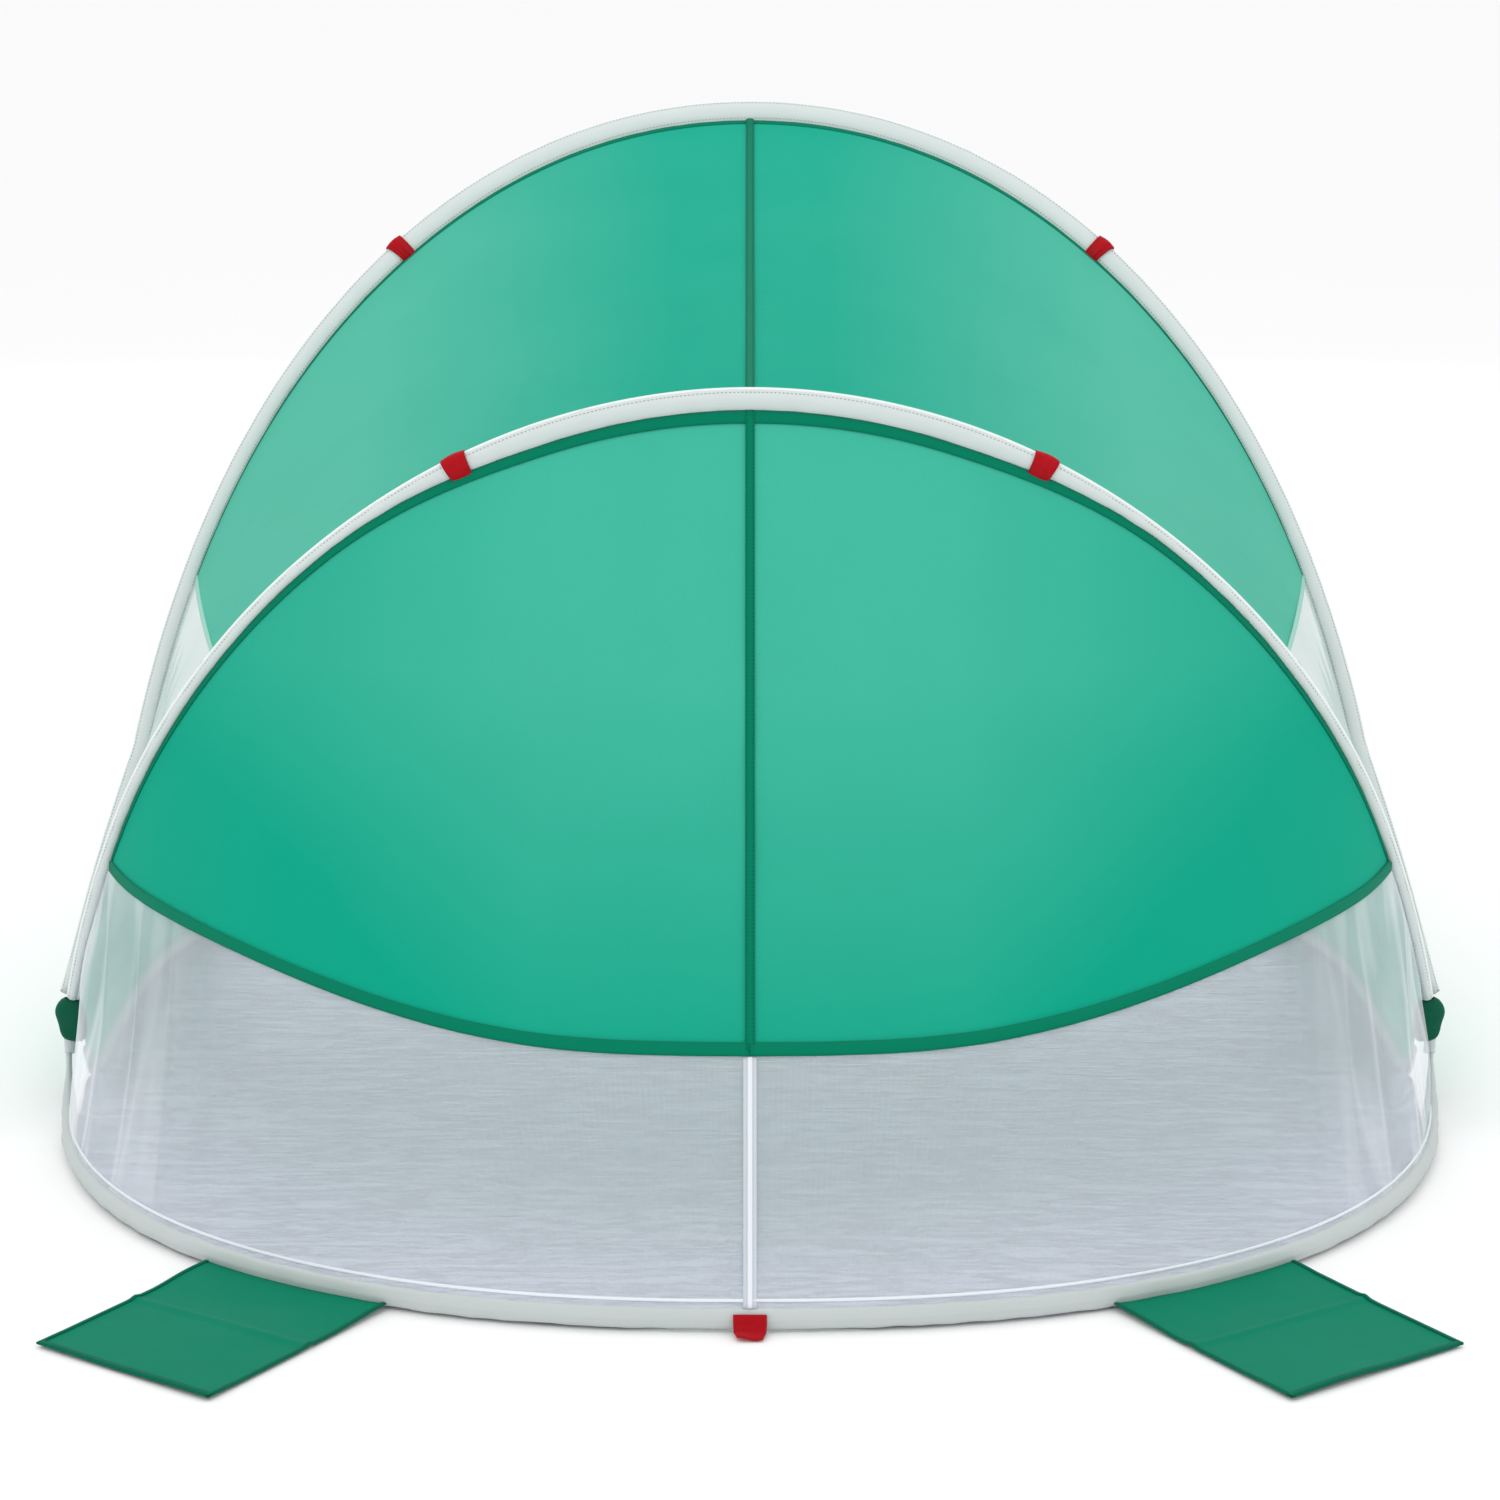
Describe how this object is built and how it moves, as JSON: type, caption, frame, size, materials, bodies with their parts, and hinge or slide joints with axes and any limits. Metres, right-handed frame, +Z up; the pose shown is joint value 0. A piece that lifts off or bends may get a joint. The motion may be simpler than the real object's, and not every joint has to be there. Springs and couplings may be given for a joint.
{
  "type": "tarp shelter",
  "caption": "Pop-up hoop beach shelter with a green roof and back, a net window, a floor, red tabs and sand flaps.",
  "frame": {"origin": "on the ground, at the underside of the rear floor sheet, midway between the two side crossings of the hoops", "axes": "+X across the shelter, +Y towards its open front, +Z up"},
  "size_m": [1.426, 1.4198, 0.9658],
  "materials": {
    "green_cloth": "coated woven polyester, satin",
    "green_trim": "doubled green cloth, stitched",
    "dark_green_cloth": "coated woven polyester, seen on its darker side",
    "dark_webbing": "dark green woven webbing",
    "white_sleeve": "white polyester wire sleeve, piped edges",
    "white_net": "fine white polyester net, see-through",
    "white_tape": "white woven tape",
    "floor_cloth": "pale grey polyethylene-coated floor cloth",
    "red_webbing": "red woven webbing",
    "spring_steel": "flat spring-steel wire",
    "clear_tube": "clear soft plastic tube"
  },
  "bodies": {
    "rear_floor": {"rear_floor_sheet": "floor_cloth", "rear_ground_sleeve": "white_sleeve", "rear_ground_wire": "spring_steel", "rear_hoop_ferrule": "spring_steel", "wire_guard_right": "clear_tube", "wire_guard_left": "clear_tube", "crossing_strap_right": "dark_webbing", "crossing_strap_left": "dark_webbing", "rear_peg_tab": "red_webbing", "rear_panel_right": "green_cloth", "rear_panel_left": "green_cloth", "rear_hem_right": "green_trim", "rear_hem_left": "green_trim", "rear_net_right": "white_net", "rear_net_left": "white_net", "rear_seam": "green_trim", "rear_net_tape": "white_tape"},
    "mid_arch": {"mid_arch_sleeve": "white_sleeve", "mid_arch_wire": "spring_steel", "mid_tab_right": "red_webbing", "mid_tab_left": "red_webbing", "roof_panel_right": "green_cloth", "roof_panel_left": "green_cloth", "roof_seam": "green_trim", "side_net_right": "white_net", "side_net_left": "white_net"},
    "front_arch": {"front_arch_sleeve": "white_sleeve", "front_arch_wire": "spring_steel", "front_tab_right": "red_webbing", "front_tab_left": "red_webbing", "side_gusset_right": "green_cloth", "side_gusset_left": "green_cloth"},
    "front_floor": {"front_floor_sheet": "floor_cloth", "front_ground_sleeve": "white_sleeve", "front_ground_wire": "spring_steel", "front_hoop_ferrule": "spring_steel"},
    "flap_right": {"sand_flap_right": "dark_green_cloth", "sand_flap_binding_right": "dark_green_cloth"},
    "flap_left": {"sand_flap_left": "dark_green_cloth", "sand_flap_binding_left": "dark_green_cloth"}
  },
  "joints": [
    {"name": "rear_fold", "type": "hinge", "parent": "rear_floor", "child": "mid_arch", "pos_m": [0, 0, 0.092], "axis": [1, 0, 0], "range_deg": [0, 78], "stiffness_Nm_per_rad": 1.5, "springref_deg": -17.19, "deforming": ["rear_panel_right", "rear_panel_left", "rear_hem_right", "rear_hem_left", "rear_net_right", "rear_net_left", "rear_seam", "rear_net_tape"]},
    {"name": "roof_fold", "type": "hinge", "parent": "mid_arch", "child": "front_arch", "pos_m": [0, 0, 0.092], "axis": [1, 0, 0], "range_deg": [0, 30], "deforming": ["roof_panel_right", "roof_panel_left", "roof_seam", "side_net_right", "side_net_left"]},
    {"name": "floor_fold", "type": "hinge", "parent": "rear_floor", "child": "front_floor", "pos_m": [0, 0, 0.092], "axis": [1, 0, 0], "range_deg": [0, 160], "deforming": ["side_gusset_right", "side_gusset_left"]},
    {"name": "flap_right_lift", "type": "hinge", "parent": "rear_floor", "child": "flap_right", "pos_m": [0.42352, -0.5141, 0.0015], "axis": [-0.8251, -0.565, 0], "range_deg": [0, 88]},
    {"name": "flap_left_lift", "type": "hinge", "parent": "rear_floor", "child": "flap_left", "pos_m": [-0.42352, -0.5141, 0.0015], "axis": [-0.8251, 0.565, 0], "range_deg": [0, 88]}
  ],
  "couplings": [
    {"joint": "roof_fold", "follows": "rear_fold", "ratio": 0.38461},
    {"joint": "floor_fold", "follows": "rear_fold", "ratio": 2.0513}
  ]
}
